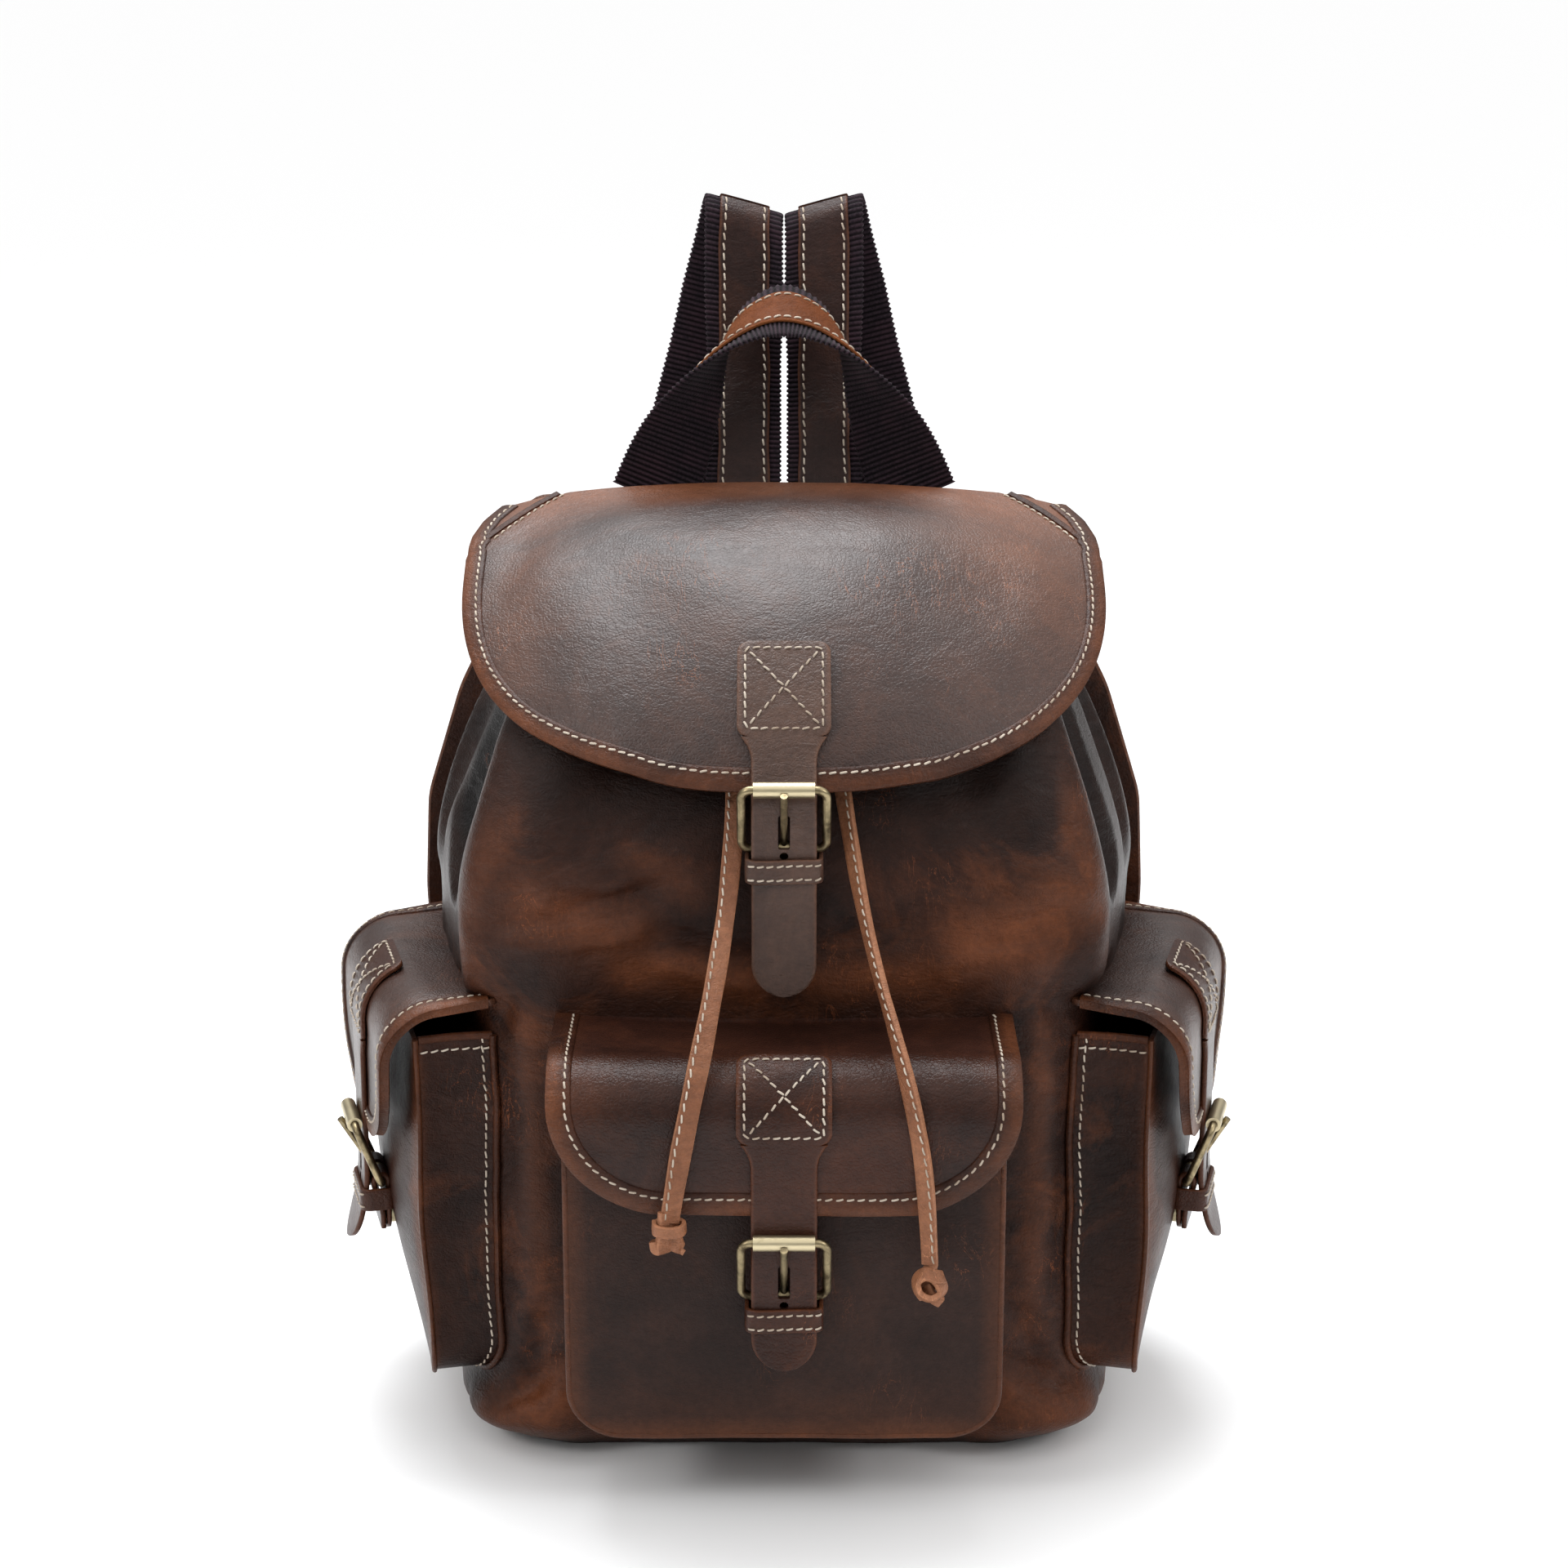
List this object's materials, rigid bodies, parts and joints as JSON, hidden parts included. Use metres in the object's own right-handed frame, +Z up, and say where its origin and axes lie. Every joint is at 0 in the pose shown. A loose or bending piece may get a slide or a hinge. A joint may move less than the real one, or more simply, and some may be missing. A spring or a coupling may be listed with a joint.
{
  "type": "backpack",
  "caption": "Leather rucksack with a strapped lid, buckled box pockets, drawstring tails, a carry handle and two shoulder straps.",
  "frame": {"origin": "middle of the base panel's underside, on the surface that the bag stands on", "axes": "+Z up, -Y out of the front pocket, +Y out of the back panel, +X to the right seen from the front"},
  "size_m": [0.3788, 0.298, 0.4935],
  "materials": {
    "bag_leather": "oiled pull-up leather, dark brown with reddish rubbed areas",
    "binding_leather": "oiled leather binding, rubbed orange-brown",
    "strap_leather": "oiled leather, grey-brown, fine creases",
    "strap_facing": "smooth dark leather strip",
    "cord_leather": "light tan folded leather",
    "webbing": "ribbed cotton webbing, nearly black",
    "lining_cloth": "plain cotton lining",
    "antique_brass": "antique brass, worn bright on the rollers"
  },
  "bodies": {
    "bag": {"body_wrap": "bag_leather", "base_panel": "bag_leather", "mouth_casing": "bag_leather", "lining": "lining_cloth", "back_panel": "bag_leather", "strap_yoke": "strap_leather", "eyelets": "antique_brass", "left_cord": "cord_leather", "right_cord": "cord_leather", "cord_knots": "cord_leather", "riser_webbing": "webbing", "riser_facing": "strap_facing", "lower_webbing": "webbing", "left_strap_slider": "antique_brass", "right_strap_slider": "antique_brass", "anchor_rings": "antique_brass", "anchor_tabs": "strap_leather", "snap_sockets": "antique_brass", "front_pocket_gusset": "bag_leather", "front_pocket_panel": "bag_leather", "left_pocket_gusset": "bag_leather", "left_pocket_panel": "bag_leather", "right_pocket_gusset": "bag_leather", "right_pocket_panel": "bag_leather"},
    "lid": {"lid_panel": "bag_leather", "lid_binding": "binding_leather", "lid_strap": "strap_leather", "lid_tab_and_keeper": "strap_leather", "lid_buckle_frame": "antique_brass", "lid_stud": "antique_brass"},
    "front_flap": {"front_pocket_flap": "bag_leather", "front_pocket_strap": "strap_leather", "front_pocket_tab_and_keeper": "strap_leather", "front_pocket_buckle_frame": "antique_brass", "front_pocket_stud": "antique_brass"},
    "left_flap": {"left_pocket_flap": "bag_leather", "left_pocket_strap": "strap_leather", "left_pocket_tab_and_keeper": "strap_leather", "left_pocket_buckle_frame": "antique_brass", "left_pocket_stud": "antique_brass"},
    "right_flap": {"right_pocket_flap": "bag_leather", "right_pocket_strap": "strap_leather", "right_pocket_tab_and_keeper": "strap_leather", "right_pocket_buckle_frame": "antique_brass", "right_pocket_stud": "antique_brass"},
    "handle": {"handle_webbing": "webbing", "handle_facing": "strap_facing"},
    "left_strap": {"left_strap_webbing": "webbing", "left_strap_facing": "strap_facing"},
    "right_strap": {"right_strap_webbing": "webbing", "right_strap_facing": "strap_facing"},
    "lid_prong": {"lid_prong": "antique_brass"},
    "lid_roller": {"lid_roller": "antique_brass"},
    "front_prong": {"front_pocket_prong": "antique_brass"},
    "front_roller": {"front_pocket_roller": "antique_brass"},
    "left_prong": {"left_pocket_prong": "antique_brass"},
    "left_roller": {"left_pocket_roller": "antique_brass"},
    "right_prong": {"right_pocket_prong": "antique_brass"},
    "right_roller": {"right_pocket_roller": "antique_brass"}
  },
  "joints": [
    {"name": "lid_hinge", "type": "hinge", "parent": "bag", "child": "lid", "pos_m": [0, 0.06, 0.3787], "axis": [-1, 0, 0], "range_deg": [0, 90]},
    {"name": "front_flap_hinge", "type": "hinge", "parent": "bag", "child": "front_flap", "pos_m": [0, -0.086, 0.1937], "axis": [-1, 0, 0], "range_deg": [0, 38], "deforming": ["left_cord", "right_cord", "cord_knots"]},
    {"name": "left_flap_hinge", "type": "hinge", "parent": "bag", "child": "left_flap", "pos_m": [-0.13876, -0.01693, 0.1977], "axis": [-0.2419, 0.9703, 0], "range_deg": [0, 80]},
    {"name": "right_flap_hinge", "type": "hinge", "parent": "bag", "child": "right_flap", "pos_m": [0.13876, -0.01693, 0.1977], "axis": [-0.2419, -0.9703, 0], "range_deg": [0, 80]},
    {"name": "handle_swing", "type": "hinge", "parent": "bag", "child": "handle", "pos_m": [0, 0.076, 0.376], "axis": [-1, 0, 0], "range_deg": [-60, 0]},
    {"name": "left_strap_swing", "type": "hinge", "parent": "bag", "child": "left_strap", "pos_m": [-0.017, 0.1257, 0.496], "axis": [1, 0, 0], "range_deg": [0, 15]},
    {"name": "right_strap_swing", "type": "hinge", "parent": "bag", "child": "right_strap", "pos_m": [0.017, 0.1257, 0.496], "axis": [1, 0, 0], "range_deg": [0, 15]},
    {"name": "lid_prong_pivot", "type": "hinge", "parent": "lid", "child": "lid_prong", "pos_m": [0, -0.094, 0.266], "axis": [1, 0, 0], "range_deg": [0, 18]},
    {"name": "lid_roller_spin", "type": "hinge", "parent": "lid", "child": "lid_roller", "pos_m": [0, -0.10395, 0.292], "axis": [1, 0, 0], "continuous": true},
    {"name": "front_prong_pivot", "type": "hinge", "parent": "front_flap", "child": "front_prong", "pos_m": [0, -0.144, 0.103], "axis": [1, 0, 0], "range_deg": [0, 18]},
    {"name": "front_roller_spin", "type": "hinge", "parent": "front_flap", "child": "front_roller", "pos_m": [0, -0.15395, 0.129], "axis": [1, 0, 0], "continuous": true},
    {"name": "left_prong_pivot", "type": "hinge", "parent": "left_flap", "child": "left_prong", "pos_m": [-0.16981, -0.02468, 0.104], "axis": [0.2419, -0.9703, 0], "range_deg": [0, 18]},
    {"name": "left_roller_spin", "type": "hinge", "parent": "left_flap", "child": "left_roller", "pos_m": [-0.17947, -0.02708, 0.13], "axis": [0.2419, -0.9703, 0], "continuous": true},
    {"name": "right_prong_pivot", "type": "hinge", "parent": "right_flap", "child": "right_prong", "pos_m": [0.16981, -0.02468, 0.104], "axis": [0.2419, 0.9703, 0], "range_deg": [0, 18]},
    {"name": "right_roller_spin", "type": "hinge", "parent": "right_flap", "child": "right_roller", "pos_m": [0.17947, -0.02708, 0.13], "axis": [0.2419, 0.9703, 0], "continuous": true}
  ]
}
